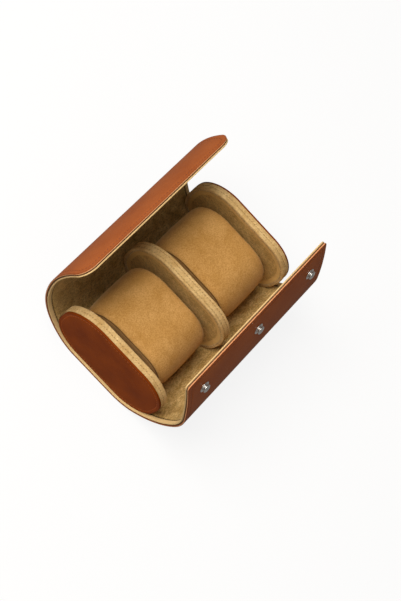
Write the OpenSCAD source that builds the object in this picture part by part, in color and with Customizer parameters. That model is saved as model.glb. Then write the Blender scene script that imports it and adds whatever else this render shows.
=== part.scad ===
// Two-slot watch travel case: a sprung leather wrap round three stitched walls and two lift-out pillows.
// Shown open. +X runs along the case, -Y is the side with the studs, +Z is up, z = 0 is the resting face.

/* [Walls] */
// Half of a wall's width, side to side
wall_half_w = 46.75; // [40:0.25:54]
// Height of a wall
wall_h = 64; // [58:0.5:72]
// Radius of a wall's corners
wall_r = 28; // [22:0.5:28]
// Thickness of the two end walls
end_wall_t = 8; // [6:0.5:10]
// Thickness of the divider between the slots
divider_t = 8; // [6:0.5:10]
// Thickness of the suede strip round a wall's rim
rim_t = 1.2; // [0.8:0.1:2]
// Thickness of a wall's covering on each face
face_t = 1; // [0.6:0.1:1.2]
// How far the rim strip turns over onto a suede face
rim_turn = 3; // [1.4:0.1:4]
// How far an end wall's leather disc stays back from the rim
disc_inset = 0.4; // [0:0.1:1]

/* [Slots] */
// Length of one slot, between two walls
slot_l = 61.4; // [54:0.2:70]
// How far the wrap stands past the end walls
wrap_over = 1.4; // [0:0.1:6]

/* [Wrap] */
// Thickness of the outer leather
leather_t = 1.3; // [1:0.1:1.8]
// Thickness of the stiffening board
board_t = 0.7; // [0.5:0.1:1]
// Thickness of the suede lining
lining_t = 1; // [0.7:0.1:1.5]
// Path from the middle of the base to the first crease, along the outside
crease_low = 55; // [50:1:60]
// Path to the second crease
crease_mid = 88; // [82:1:94]
// Path to the third crease
crease_top = 112; // [106:1:116]
// Path to the free edge of the lip
lip_edge = 158; // [150:1:164]
// Path to the free edge of the flap
flap_edge = 162; // [156:1:168]
// Corner radius of the flap
flap_corner_r = 11; // [6:1:18]
// Corner radius of the lip
lip_corner_r = 2.5; // [1:0.5:8]
// Gap between two panels at a crease's inner face
crease_gap = 0.4; // [0.3:0.1:0.8]

/* [Open shape] */
// Angle at which the front of the base leaves the walls
front_lift_a = 45; // [40:1:50]
// Outer radius of the front side panel
front_side_r = 76; // [70:1:84]
// Outer radius of the front shoulder panel
front_shoulder_r = 44; // [40:1:60]
// Outer radius of the lip
lip_r = 293; // [200:1:400]
// Angle at which the back of the base leaves the walls
back_lift_a = 30; // [26:1:36]
// Outer radius of the back side panel
back_side_r = 66; // [60:1:72]
// Outer radius of the back shoulder panel
back_shoulder_r = 116; // [90:1:140]
// Outer radius of the flap
flap_r = 95; // [85:1:120]

/* [Closed shape] */
// How far the front side panel turns in to close
front_side_close = 24; // [20:1:24]
// How far the front shoulder panel turns in to close
front_shoulder_close = 18; // [14:1:18]
// How far the lip turns in to close
lip_close = 22; // [18:1:22]
// How far the back side panel turns in to close
back_side_close = 31; // [28:1:31]
// How far the back shoulder panel turns in to close
back_shoulder_close = 17; // [14:1:17]
// How far the flap turns in to close
flap_close = 24; // [20:1:24]
// How far each crease also bends outwards
crease_open = 12; // [4:1:14]

/* [Pillows] */
// Length of a pillow, along the case
pillow_l = 50; // [40:1:54]
// Width of a pillow
pillow_w = 76; // [66:1:82]
// Height of a pillow
pillow_h = 57; // [50:1:58]
// Corner radius of a pillow's section
pillow_r = 25; // [18:1:27]
// How far a pillow's cover draws in at its ends
pillow_draw = 6; // [3:0.5:8]
// Thickness of a pillow's suede cover
pillow_skin = 1; // [0.8:0.1:1.5]
// How far the pillows sit off the middle of their slots, towards the far end
pillow_shift = 1; // [0:0.5:4]

/* [Snaps] */
// Number of snaps
snap_n = 3; // [2:1:4]
// Distance between two snaps
snap_pitch = 58; // [40:1:62]
// Distance of a snap's centre from the lip's free edge
snap_in = 20; // [14:0.5:23]
// Diameter of a stud's flange
stud_flange_d = 8.6; // [8:0.1:9.5]
// Thickness of a stud's flange
stud_flange_t = 0.5; // [0.4:0.1:0.6]
// Diameter of a stud's neck
stud_neck_d = 5; // [4:0.1:5.5]
// Diameter of a stud's head
stud_head_d = 6.6; // [6:0.1:7]
// Height of a stud above the leather
stud_h = 2.9; // [2.6:0.1:3]
// Diameter of a snap's rivet post through the wrap
post_d = 3; // [2.4:0.1:3.6]
// Diameter of the rivet plates that hide in the board
plate_d = 9; // [8:0.1:9.4]
// Thickness of the rivet plates
plate_t = 0.5; // [0.3:0.1:0.6]
// Outer diameter of a socket's barrel
socket_d = 9.8; // [9.4:0.1:10.4]
// Outer diameter of a socket's rim
socket_rim_d = 11.4; // [10.8:0.1:12]
// Height of a socket's rim on the lining
socket_rim_t = 0.9; // [0.7:0.1:1.1]
// Clearance between a stud and its socket
snap_clear = 0.35; // [0.3:0.05:0.5]

/* [Hidden] */
$fn = 96;

glue = 0.05;                       // line of glue between two layers of one body
body_gap = 0.3;                    // clearance between pieces that move apart
wrap_t = leather_t + board_t + lining_t + 2 * glue;
flat_w = wall_half_w - wall_r;     // half of a wall's flat underside
corner_r = wall_r + glue + wrap_t; // outer radius where the wrap hugs a wall
corner_z = corner_r;               // height of the lower corners' centres
wall_z = wrap_t + glue;            // underside of a wall

near_x1 = -divider_t / 2 - slot_l;           // inner face of the near wall
far_x1 = -near_x1;                           // inner face of the far wall
wrap_l = 2 * (far_x1 + end_wall_t + wrap_over);
near_pillow_x = (near_x1 - divider_t / 2) / 2 + pillow_shift;
far_pillow_x = (far_x1 + divider_t / 2) / 2 + pillow_shift;

// One stretch of the wrap is [start y, start z, tangent angle, outer radius, length],
// with y measured outwards from the middle, so that front and back share the functions.
function centre(s) = [s[0] - s[3] * sin(s[2]), s[1] + s[3] * cos(s[2])];
function turn(s) = s[4] / s[3] * 180 / PI;
function at(s, a, depth) = let (c = centre(s), r = s[3] - depth)
    [c[0] + r * sin(s[2] + a), c[1] - r * cos(s[2] + a)];
function next(s, r, l) = let (p = at(s, turn(s), 0)) [p[0], p[1], s[2] + turn(s), r, l];
function corner_path(a) = flat_w + corner_r * a * PI / 180;
function rise(a, r) = [flat_w + corner_r * sin(a), corner_z - corner_r * cos(a), a, r,
                       crease_low - corner_path(a)];

front_base = rise(front_lift_a, front_side_r);
front_side = next(front_base, front_side_r, crease_mid - crease_low);
front_shoulder = next(front_side, front_shoulder_r, crease_top - crease_mid);
lip = next(front_shoulder, lip_r, lip_edge - crease_top);
back_base = rise(back_lift_a, back_side_r);
back_side = next(back_base, back_side_r, crease_mid - crease_low);
back_shoulder = next(back_side, back_shoulder_r, crease_top - crease_mid);
flap = next(back_shoulder, flap_r, flap_edge - crease_top);

// A crease turns about the wrap's inner face, at the start of its outer panel.
function pivot(s) = at(s, 0, wrap_t);
function spin(p, c, a) = [c[0] + (p[0] - c[0]) * cos(a) - (p[1] - c[1]) * sin(a),
                          c[1] + (p[0] - c[0]) * sin(a) + (p[1] - c[1]) * cos(a)];

// The snaps: on the lip by size, and on the flap square to its lining where the closed lip brings them.
stud_a = turn(lip) - snap_in / lip_r * 180 / PI;
stud_p = at(lip, stud_a, 0);
stud_tilt = lip[2] + stud_a;
stud_shut = spin(spin(spin(at(lip, stud_a, -stud_h / 2), pivot(lip), lip_close),
                      pivot(front_shoulder), front_shoulder_close), pivot(front_side), front_side_close);
socket_from = spin(spin(spin([-stud_shut[0], stud_shut[1]], pivot(back_side), -back_side_close),
                        pivot(back_shoulder), -back_shoulder_close), pivot(flap), -flap_close) - centre(flap);
socket_tilt = atan2(socket_from[0], -socket_from[1]);
flap_in_r = flap_r - wrap_t;
socket_p = centre(flap) + flap_in_r * [sin(socket_tilt), -cos(socket_tilt)];
socket_r = stud_head_d / 2 + snap_clear;

leather_c = [0.62, 0.34, 0.18];
suede_c = [0.66, 0.53, 0.32];
board_c = [0.45, 0.38, 0.30];
pillow_c = [0.75, 0.55, 0.30];
foam_c = [0.85, 0.80, 0.70];
metal_c = [0.80, 0.80, 0.78];

// ---- Wrap -------------------------------------------------------------------------------------

// Depth of a layer's outer and inner face below the wrap's outer face.
leather_in = [0, leather_t];
board_in = [leather_t + glue, leather_t + glue + board_t];
lining_in = [leather_t + board_t + 2 * glue, wrap_t];

// Half of the groove at a crease: widest at the outer face, so that the panel also bends outwards.
function groove(depth) = crease_gap / 2 + (wrap_t - depth[0]) * tan(crease_open / 2);

// A pie slice between two angles, each measured from straight down.
module slice(c, r, a0, a1) {
    reach = 1.2 * r / cos((a1 - a0) / 2);
    polygon(concat([c], [for (a = [a0, (a0 + a1) / 2, a1]) c + reach * [sin(a), -cos(a)]]));
}

module ring(c, r_out, r_in) {
    translate(c) difference() {
        circle(r = r_out, $fn = 360);
        circle(r = r_in, $fn = 360);
    }
}

// One layer of a stretch, cut back along the path at its start and at its end.
module layer_section(s, depth, cut_start, cut_end) {
    degrees = 180 / PI / s[3];
    intersection() {
        ring(centre(s), s[3] - depth[0], s[3] - depth[1]);
        slice(centre(s), s[3], s[2] + cut_start * degrees, s[2] + turn(s) - cut_end * degrees);
    }
}

// Stands a section drawn as (outwards, up) along the case, to the back or to the front.
module along_case(side, l = wrap_l) {
    rotate([90, 0, 90]) linear_extrude(l, center = true)
        if (side < 0) mirror([1, 0]) children();
        else children();
}

module panel_layer(s, depth, side) {
    along_case(side) layer_section(s, depth, groove(depth), groove(depth));
}

// The free panel at each side has no crease at its edge, and rounded corners there. Its layers are
// cut a wrap's thickness too large, and the plan trims them.
module free_layer(s, depth, side, r) {
    intersection() {
        along_case(side, wrap_l + 2 * wrap_t) layer_section(s, depth, groove(depth), -wrap_t);
        on_face(at(s, turn(s), wrap_t / 2), s[2] + turn(s), side)
            linear_extrude(s[4], center = true) free_outline(s[4] + wrap_t, side, r);
    }
}

module mirrored(yes) {
    if (yes) mirror([0, 1]) children();
    else children();
}

// The plan of a free panel, with its free edge on the X axis.
module free_outline(l, side, r) {
    half = wrap_l / 2;
    mirrored(side < 0) {
        for (x = [r - half, half - r]) translate([x, r]) circle(r = r);
        translate([r - half, 0]) square([wrap_l - 2 * r, l]);
        translate([-half, r]) square([wrap_l, l - r]);
    }
}

// The base: flat under the walls, round their lower corners, and up to the first creases.
module base_layer(depth) {
    along_case(1) translate([-flat_w, depth[0]]) square([2 * flat_w, depth[1] - depth[0]]);
    base_side(depth, -1, front_lift_a, front_base);
    base_side(depth, 1, back_lift_a, back_base);
}

module base_side(depth, side, lift_a, stretch) {
    along_case(side) {
        intersection() {
            ring([flat_w, corner_z], corner_r - depth[0], corner_r - depth[1]);
            slice([flat_w, corner_z], corner_r, 0, lift_a);
        }
        layer_section(stretch, depth, 0, groove(depth));
    }
}

// A frame on the wrap's face: the origin at a point, +X along the case and +Z out of the leather.
module on_face(p, tilt, side) {
    translate([0, side * p[0], p[1]]) rotate([180 + side * tilt, 0, 0]) children();
}

// Places its children at every snap.
module at_snaps(p, tilt, side) {
    for (i = [0 : snap_n - 1])
        translate([(i - (snap_n - 1) / 2) * snap_pitch, 0, 0]) on_face(p, tilt, side) children();
}

module at_studs() { at_snaps(stud_p, stud_tilt, -1) children(); }
module at_sockets() { at_snaps(socket_p, socket_tilt, 1) children(); }

module base_leather() { color(leather_c) base_layer(leather_in); }
module base_board() { color(board_c) base_layer(board_in); }
module base_lining() { color(suede_c) base_layer(lining_in); }

module front_side_leather() { color(leather_c) panel_layer(front_side, leather_in, -1); }
module front_side_board() { color(board_c) panel_layer(front_side, board_in, -1); }
module front_side_lining() { color(suede_c) panel_layer(front_side, lining_in, -1); }
module front_shoulder_leather() { color(leather_c) panel_layer(front_shoulder, leather_in, -1); }
module front_shoulder_board() { color(board_c) panel_layer(front_shoulder, board_in, -1); }
module front_shoulder_lining() { color(suede_c) panel_layer(front_shoulder, lining_in, -1); }

module back_side_leather() { color(leather_c) panel_layer(back_side, leather_in, 1); }
module back_side_board() { color(board_c) panel_layer(back_side, board_in, 1); }
module back_side_lining() { color(suede_c) panel_layer(back_side, lining_in, 1); }
module back_shoulder_leather() { color(leather_c) panel_layer(back_shoulder, leather_in, 1); }
module back_shoulder_board() { color(board_c) panel_layer(back_shoulder, board_in, 1); }
module back_shoulder_lining() { color(suede_c) panel_layer(back_shoulder, lining_in, 1); }

module lip_layer(depth, hole_d) {
    difference() {
        free_layer(lip, depth, -1, lip_corner_r);
        if (hole_d > 0) at_studs() cylinder(d = hole_d, h = 4 * wrap_t, center = true);
    }
}

module lip_leather() { color(leather_c) lip_layer(leather_in, post_d + 2 * glue); }
module lip_board() { color(board_c) lip_layer(board_in, plate_d + 2 * glue); }
module lip_lining() { color(suede_c) lip_layer(lining_in, 0); }

module flap_layer(depth, hole_d) {
    difference() {
        free_layer(flap, depth, 1, flap_corner_r);
        if (hole_d > 0) at_sockets() cylinder(d = hole_d, h = 4 * wrap_t, center = true);
    }
}

module flap_leather() { color(leather_c) flap_layer(leather_in, 0); }
module flap_board() { color(board_c) flap_layer(board_in, socket_d + 2 * glue); }
module flap_lining() { color(suede_c) flap_layer(lining_in, socket_d + 2 * glue); }

// ---- Walls ------------------------------------------------------------------------------------

// A wall's outline, drawn in from its rim by inset.
module wall_outline(inset) {
    r = wall_r - inset;
    for (y = [-flat_w, flat_w])
        for (z = [wall_z + wall_r, wall_z + wall_h - wall_r])
            translate([y, z]) circle(r = r, $fn = 240);
    translate([-flat_w, wall_z + inset]) square([2 * flat_w, wall_h - 2 * inset]);
    translate([-flat_w - r, wall_z + wall_r]) square([2 * (flat_w + r), wall_h - 2 * wall_r]);
}

// A slab of that outline from x to x + t.
module wall_slab(x, t, inset) {
    translate([x, 0, 0]) rotate([90, 0, 90]) linear_extrude(t) wall_outline(inset);
}

module wall_core(x, t) {
    color(foam_c) wall_slab(x + face_t + glue, t - 2 * (face_t + glue), rim_t + glue);
}

// The suede strip that closes a wall's edge from x to x + t. It turns over onto the wall's face at
// its start and at its end where that face is suede, and stops behind the disc where it is leather.
module wall_rim(x, t, turn_start, turn_end) {
    hollow_x0 = turn_start ? x + face_t : x - face_t;
    hollow_x1 = turn_end ? x + t - face_t : x + t + face_t;
    color(suede_c) difference() {
        wall_slab(x, t, 0);
        wall_slab(hollow_x0, hollow_x1 - hollow_x0, rim_t);
        wall_slab(x - face_t, t + 2 * face_t, rim_turn);
    }
}

module suede_face(x) { color(suede_c) wall_slab(x, face_t, rim_turn + glue); }
module leather_disc(x) { color(leather_c) wall_slab(x, face_t, disc_inset); }

near_x0 = near_x1 - end_wall_t;
disc_t = face_t + glue;                 // a leather disc and its glue, on the end of the core and rim
divider_x0 = -divider_t / 2;

module near_wall_core() { wall_core(near_x0, end_wall_t); }
module near_wall_rim() { wall_rim(near_x0 + disc_t, end_wall_t - disc_t, false, true); }
module near_wall_outer_face() { leather_disc(near_x0); }
module near_wall_inner_face() { suede_face(near_x1 - face_t); }

module divider_core() { wall_core(divider_x0, divider_t); }
module divider_rim() { wall_rim(divider_x0, divider_t, true, true); }
module divider_near_face() { suede_face(divider_x0); }
module divider_far_face() { suede_face(divider_x0 + divider_t - face_t); }

module far_wall_core() { wall_core(far_x1, end_wall_t); }
module far_wall_rim() { wall_rim(far_x1, end_wall_t - disc_t, true, false); }
module far_wall_inner_face() { suede_face(far_x1); }
module far_wall_outer_face() { leather_disc(far_x1 + end_wall_t - face_t); }

// ---- Pillows ----------------------------------------------------------------------------------

pillow_rings = 14;     // rings of points along a pillow
pillow_steps = 40;     // points round a ring, a multiple of 4
pillow_z = wrap_t + body_gap;
crown = 1.2;           // how far a pillow's middle swells past the start of its ends

// Points round a rounded rectangle, the same number in each corner.
function corner_points(w, h, r, n) = [for (q = [0 : 3], k = [0 : n - 1])
    let (a = q * 90 + 90 * k / (n - 1))
    [(q == 0 || q == 3 ? 1 : -1) * (w / 2 - r) + r * cos(a), (q < 2 ? 1 : -1) * (h / 2 - r) + r * sin(a)]];

// How far a ring lies in from the full section: the crown, then the round draw at the ends.
function pillow_inset(t) = crown * t * t + (pillow_draw - crown) * (1 - sqrt(max(0, 1 - pow(abs(t), 9))));

// A pillow's form drawn in by skin on every side, centred on its own middle.
module pillow_form(skin) {
    n = pillow_steps / 4;
    stations = [for (i = [0 : pillow_rings]) sin(180 * (i / pillow_rings - 0.5))];
    rings = [for (t = stations) let (d = pillow_inset(t) + skin)
        [for (p = corner_points(pillow_w - 2 * d, pillow_h - 2 * d, pillow_r - d, n))
            [t * (pillow_l / 2 - skin), p[0], p[1]]]];
    m = pillow_steps;
    last = pillow_rings * m;
    points = [for (ring = rings) each ring];
    sides = [for (i = [0 : pillow_rings - 1], k = [0 : m - 1])
        each [[i * m + k, (i + 1) * m + k, (i + 1) * m + (k + 1) % m],
              [i * m + k, (i + 1) * m + (k + 1) % m, i * m + (k + 1) % m]]];
    polyhedron(points, concat(sides, [[for (k = [0 : m - 1]) k]], [[for (k = [m - 1 : -1 : 0]) last + k]]));
}

module pillow_cover(x) {
    color(pillow_c) translate([x, 0, pillow_z + pillow_h / 2]) difference() {
        pillow_form(0);
        pillow_form(pillow_skin);
    }
}

module pillow_foam(x) {
    color(foam_c) translate([x, 0, pillow_z + pillow_h / 2]) pillow_form(pillow_skin + glue);
}

module near_pillow_cover() { pillow_cover(near_pillow_x); }
module near_pillow_foam() { pillow_foam(near_pillow_x); }
module far_pillow_cover() { pillow_cover(far_pillow_x); }
module far_pillow_foam() { pillow_foam(far_pillow_x); }

// ---- Snaps ------------------------------------------------------------------------------------

neck_z = stud_h * 0.52;                 // height at which a stud's head starts to swell
head_z = stud_h * 0.74;                 // height of the head's widest ring
head_edge_t = 0.4;                      // thickness of that ring's edge
head_round = 0.9;                       // how far the dome rounds in from it
roof_t = 0.7;                           // metal over the post's end, round the dimple
dimple_d = post_d * 0.8;
plate_inset = 0.1;                      // how far the rivet plates lie inside the board
// A socket's rim stands off the curved lining at its middle, so that its edge just clears it.
socket_seat = flap_in_r - sqrt(pow(flap_in_r, 2) - pow(socket_rim_d / 2, 2)) + glue;
cap_z = lining_t + glue + board_t - plate_t - 2 * plate_inset;  // a cap's foot above the lining's face

// A turned stud: flange, waist and domed head, bored for its rivet.
module stud() {
    rotate_extrude() difference() {
        union() {
            translate([0, glue]) square([stud_flange_d / 2, stud_flange_t - glue]);
            translate([0, glue]) square([stud_neck_d / 2, neck_z]);
            polygon([[0, neck_z - head_edge_t], [stud_neck_d / 2, neck_z - head_edge_t],
                     [stud_head_d / 2, head_z - head_edge_t / 2], [stud_head_d / 2, head_z + head_edge_t / 2],
                     [stud_head_d / 2 - head_round, stud_h], [0, stud_h]]);
        }
        translate([-1, -1]) square([post_d / 2 + glue + 1, stud_h - roof_t + 1]);
        translate([-1, 0]) square([dimple_d / 2 + 1, stud_h + 1]);
    }
}

module snap_studs() { color(metal_c) at_studs() stud(); }

// The rivet: a plate in the board's thickness and a post up through the leather into the stud.
module snap_stud_rivets() {
    plate_z = -leather_t - glue - plate_inset - plate_t;
    color(metal_c) at_studs() rotate_extrude() {
        translate([0, plate_z]) square([plate_d / 2, plate_t]);
        translate([0, plate_z]) square([post_d / 2, stud_h - roof_t - plate_inset - plate_z]);
    }
}

// The socket: a barrel through lining and board with a rim that stands on the lining.
module snap_sockets() {
    foot_z = -socket_seat - socket_rim_t;
    color(metal_c) at_sockets() rotate_extrude() difference() {
        union() {
            translate([0, foot_z]) square([socket_rim_d / 2, socket_rim_t]);
            translate([0, foot_z]) square([socket_d / 2, cap_z - glue - foot_z]);
        }
        translate([-1, foot_z - 1]) square([socket_r + 1, cap_z - foot_z + 2]);
    }
}

module snap_socket_caps() {
    color(metal_c) at_sockets() translate([0, 0, cap_z]) cylinder(d = socket_d, h = plate_t);
}

base_leather();
base_board();
base_lining();
front_side_leather();
front_side_board();
front_side_lining();
front_shoulder_leather();
front_shoulder_board();
front_shoulder_lining();
lip_leather();
lip_board();
lip_lining();
back_side_leather();
back_side_board();
back_side_lining();
back_shoulder_leather();
back_shoulder_board();
back_shoulder_lining();
flap_leather();
flap_board();
flap_lining();
near_wall_core();
near_wall_rim();
near_wall_outer_face();
near_wall_inner_face();
divider_core();
divider_rim();
divider_near_face();
divider_far_face();
far_wall_core();
far_wall_rim();
far_wall_inner_face();
far_wall_outer_face();
near_pillow_cover();
near_pillow_foam();
far_pillow_cover();
far_pillow_foam();
snap_studs();
snap_stud_rivets();
snap_sockets();
snap_socket_caps();
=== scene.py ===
"""Leather, suede and metal of a two-slot watch travel case, shown open.

+X runs along the case, -Y is the side with the studs and +Z is up. Every size here is in
millimetres, and a mesh turns it into metres when it is made.
"""

import logging
from abc import ABC, abstractmethod
from dataclasses import dataclass, field
from enum import Enum
from typing import Callable

import bmesh
import bpy
import numpy as np
from mathutils import Matrix, Vector


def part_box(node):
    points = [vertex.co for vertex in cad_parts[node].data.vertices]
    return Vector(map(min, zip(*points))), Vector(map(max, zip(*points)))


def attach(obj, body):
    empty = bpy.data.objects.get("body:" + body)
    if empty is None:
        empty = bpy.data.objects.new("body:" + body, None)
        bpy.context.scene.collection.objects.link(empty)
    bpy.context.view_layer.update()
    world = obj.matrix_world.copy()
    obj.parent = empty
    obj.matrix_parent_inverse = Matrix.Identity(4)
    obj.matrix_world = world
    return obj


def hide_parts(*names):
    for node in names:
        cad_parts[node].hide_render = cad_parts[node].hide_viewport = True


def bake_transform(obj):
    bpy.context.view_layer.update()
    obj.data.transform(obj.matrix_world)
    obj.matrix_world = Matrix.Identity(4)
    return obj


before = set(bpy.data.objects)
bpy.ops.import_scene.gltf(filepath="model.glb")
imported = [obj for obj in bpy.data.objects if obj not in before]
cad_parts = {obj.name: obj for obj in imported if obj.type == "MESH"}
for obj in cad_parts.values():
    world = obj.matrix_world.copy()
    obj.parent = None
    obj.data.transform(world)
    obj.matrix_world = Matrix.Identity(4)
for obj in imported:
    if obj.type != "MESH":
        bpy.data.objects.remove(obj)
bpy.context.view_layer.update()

LOG = logging.getLogger("watch_case")
MM = 0.001
MIX_A, MIX_B, MIX_OUT = 6, 7, 2  # the colour sockets of a Mix node
TURNED_STEPS = 48  # points round a turned form
NO_EDGE = 99.0  # border of a surface that has no cut edge
WRAP_THICK = 3.1  # leather, board and lining together
SNAP_PITCH = 58.0  # from one snap to the next
STUD_PATH, SOCKET_PATH = 138.0, 149.28  # ways from the middle of the base to the snaps
GAP = 0.05  # between a wall's rim strip and what lies beside it
Points = np.ndarray
Socket = bpy.types.NodeSocket


# ---- Meshes -----------------------------------------------------------------------------------


@dataclass
class Surface:
    """A closed surface that is being put together, with its sizes in millimetres.

    Args:
        points: one row per vertex.
        flat: the same vertices on the flat material, which becomes the UV map.
        border: distance of each vertex from the material's cut edge.
        faces: rows of vertex numbers, as arrays of triangles or quads.
        finish: for each of those arrays, the number of the finish that its faces wear.
    """

    points: Points
    flat: Points
    border: Points
    faces: list[Points] = field(default_factory=list)
    finish: list[int] = field(default_factory=list)

    def add_faces(self, faces: Points, finish: int = 0) -> None:
        """Adds an array of faces that wear one finish."""
        self.faces.append(np.asarray(faces, int))
        self.finish.append(finish)

    def join(self, other: "Surface") -> None:
        """Takes another surface in, with its vertex numbers moved up."""
        shift = len(self.points)
        self.points = np.concatenate([self.points, other.points])
        self.flat = np.concatenate([self.flat, other.flat])
        self.border = np.concatenate([self.border, other.border])
        self.faces += [f + shift for f in other.faces]
        self.finish += other.finish


def grid_faces(rows: int, cols: int, start: int = 0) -> Points:
    """Quads of a grid: vertex r * cols + c joins its neighbours to the right and below.

    Args:
        rows: number of rows of vertices.
        cols: number of vertices in a row.
        start: number of the grid's first vertex.

    Returns:
        One row of four vertex numbers per quad.
    """
    first = (np.arange(rows - 1)[:, None] * cols + np.arange(cols - 1)[None, :]).ravel() + start
    return np.stack([first, first + 1, first + cols + 1, first + cols], axis=1)


def ring_faces(rings: int, count: int, closed: bool = True, start: int = 0) -> Points:
    """Quads between rings of count vertices: each ring joins the next, and its end its start.

    Args:
        rings: number of rings.
        count: vertices in a ring.
        closed: whether a ring's last vertex joins its first.
        start: number of the first ring's first vertex.

    Returns:
        One row of four vertex numbers per quad.
    """
    here = np.arange(count if closed else count - 1)
    after = (here + 1) % count
    base = np.arange(rings - 1)[:, None] * count + start
    quads = [base + here, base + after, base + count + after, base + count + here]
    return np.stack(quads, axis=-1).reshape(-1, 4)


def closing_faces(rings: int, count: int) -> Points:
    """Quads from the last of some rings of count vertices back to the first."""
    here = np.arange(count)
    after, last = (here + 1) % count, (rings - 1) * count
    return np.stack([last + here, last + after, after, here], axis=1)


def way_along(*rows: Points) -> Points:
    """Way along a line at each of its points: the running sum of its steps' lengths."""
    return np.concatenate([[0], np.cumsum(np.linalg.norm(np.diff(rows), axis=0))])


def smooth_step(share: Points) -> Points:
    """The smooth step 3 s^2 - 2 s^3, with its share held between 0 and 1."""
    share = np.clip(share, 0, 1)
    return share * share * (3 - 2 * share)


def bell(share: Points) -> Points:
    """The bell curve exp(-s^2)."""
    return np.exp(-share ** 2)


def rolled_depth(border: Points, radius: float) -> Points:
    """How far an edge that rolls by a quarter circle sinks: r - sqrt(r^2 - (r - border)^2)."""
    return radius - np.sqrt(radius ** 2 - np.clip(radius - border, 0, radius) ** 2)


def add_object(name: str, data: bpy.types.ID) -> bpy.types.Object:
    """Makes an object of a mesh, lamp or camera and links it to the scene."""
    made = bpy.data.objects.new(name, data)
    bpy.context.scene.collection.objects.link(made)
    return made


def make_piece(name: str, surface: Surface, finishes: list["Finish"],
               sharp_deg: float = 40.0) -> bpy.types.Object:
    """Makes the object of a surface, with its faces turned outwards.

    Args:
        name: the piece's name.
        surface: its vertices and faces, in millimetres.
        finishes: what its faces wear, by number.
        sharp_deg: edges that turn more than this stay sharp.

    Returns:
        The object, which sits at the origin.
    """
    mesh = bpy.data.meshes.new(name)
    faces = [row for block in surface.faces for row in block.tolist()]
    mesh.from_pydata((surface.points * MM).tolist(), [], faces)
    wear = np.concatenate([np.full(len(f), k) for f, k in zip(surface.faces, surface.finish)])
    mesh.polygons.foreach_set("material_index", wear.astype(np.int32))
    corners = np.zeros(len(mesh.loops), np.int32)
    mesh.loops.foreach_get("vertex_index", corners)
    layer = mesh.uv_layers.new(name="flat")
    layer.uv.foreach_set("vector", (surface.flat[corners] * MM).astype(np.float32).ravel())
    border = mesh.attributes.new("border", "FLOAT", "POINT")
    border.data.foreach_set("value", surface.border.astype(np.float32))
    work = bmesh.new()
    work.from_mesh(mesh)
    bmesh.ops.recalc_face_normals(work, faces=work.faces)
    work.to_mesh(mesh)
    work.free()
    mesh.polygons.foreach_set("use_smooth", np.ones(len(mesh.polygons), bool))
    mesh.set_sharp_from_angle(angle=np.radians(sharp_deg))
    for finish in finishes:
        mesh.materials.append(finish.material())
    piece = add_object(name, mesh)
    LOG.info("%s: %d faces", name, len(mesh.polygons))
    return piece


def point_mm(along: float, across: float, up: float) -> tuple[float, float, float]:
    """A point in metres from its millimetres."""
    return along * MM, across * MM, up * MM


# ---- Finishes ---------------------------------------------------------------------------------


class Follow(Enum):
    """What a pattern is drawn on."""

    SURFACE = "UV"
    SPACE = "Object"


def linear(code: str) -> tuple[float, float, float, float]:
    """Turns an sRGB hex code into linear red, green, blue and an alpha of 1."""
    values = np.array([int(code[i:i + 2], 16) for i in (1, 3, 5)]) / 255
    low = values / 12.92
    high = ((values + 0.055) / 1.055) ** 2.4
    red, green, blue = np.where(values <= 0.04045, low, high)
    return float(red), float(green), float(blue), 1.0


def per_metre(size_mm: float) -> float:
    """Scale of a pattern whose cell is size_mm wide."""
    return 1 / (size_mm * MM)


def add_node(tree: bpy.types.NodeTree, kind: str, links: dict | None = None,
             **settings) -> bpy.types.Node:
    """Adds one shader node with its settings and links.

    Args:
        tree: the tree that it goes into.
        kind: the node's type.
        links: for an input's name or number, its value or the socket that feeds it.
        settings: the node's own properties.

    Returns:
        The node.
    """
    made = tree.nodes.new(kind)
    for name, value in settings.items():
        setattr(made, name, value)
    for key, value in (links or {}).items():
        if isinstance(value, bpy.types.NodeSocket):
            tree.links.new(value, made.inputs[key])
        else:
            made.inputs[key].default_value = value
    return made


def fresh_tree(holder: bpy.types.Material | bpy.types.World) -> bpy.types.NodeTree:
    """Turns on the nodes of a material or a world and returns its emptied tree."""
    holder.use_nodes = True
    holder.node_tree.nodes.clear()
    return holder.node_tree


def pattern_space(tree: bpy.types.NodeTree, follow: Follow = Follow.SPACE) -> Socket:
    """The coordinates that a pattern is drawn on."""
    return add_node(tree, "ShaderNodeTexCoord").outputs[follow.value]


def border_value(tree: bpy.types.NodeTree) -> Socket:
    """The distance from the cut edge, in millimetres, which the mesh carries."""
    return add_node(tree, "ShaderNodeAttribute", attribute_name="border").outputs["Fac"]


def noise(tree: bpy.types.NodeTree, where: Socket, size_mm: float, detail: float,
          **more: float) -> Socket:
    """Noise with patches size_mm wide; more names further inputs of its node."""
    return add_node(tree, "ShaderNodeTexNoise", {
        "Vector": where, "Scale": per_metre(size_mm), "Detail": detail, **more}).outputs["Fac"]


def ramp(tree: bpy.types.NodeTree, value: Socket, low: float = 0.0, high: float = 1.0,
         start: float = 0.0, end: float = 1.0, **settings: str) -> Socket:
    """Carries low to high over to start to end, and holds it past both."""
    return add_node(tree, "ShaderNodeMapRange", {
        "Value": value, "From Min": low, "From Max": high, "To Min": start, "To Max": end},
        **settings).outputs["Result"]


def mix(tree: bpy.types.NodeTree, factor: Socket, first: Socket | str,
        second: Socket | str) -> Socket:
    """Mixes two colours, each a hex code or the socket that gives it."""
    first, second = (linear(tone) if isinstance(tone, str) else tone for tone in (first, second))
    return add_node(tree, "ShaderNodeMix", {"Factor": factor, MIX_A: first, MIX_B: second},
                    data_type="RGBA").outputs[MIX_OUT]


def calculate(tree: bpy.types.NodeTree, operation: str, *values: Socket | float) -> Socket:
    """One step of arithmetic on one or two values."""
    return add_node(tree, "ShaderNodeMath", dict(enumerate(values)),
                    operation=operation).outputs[0]


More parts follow.
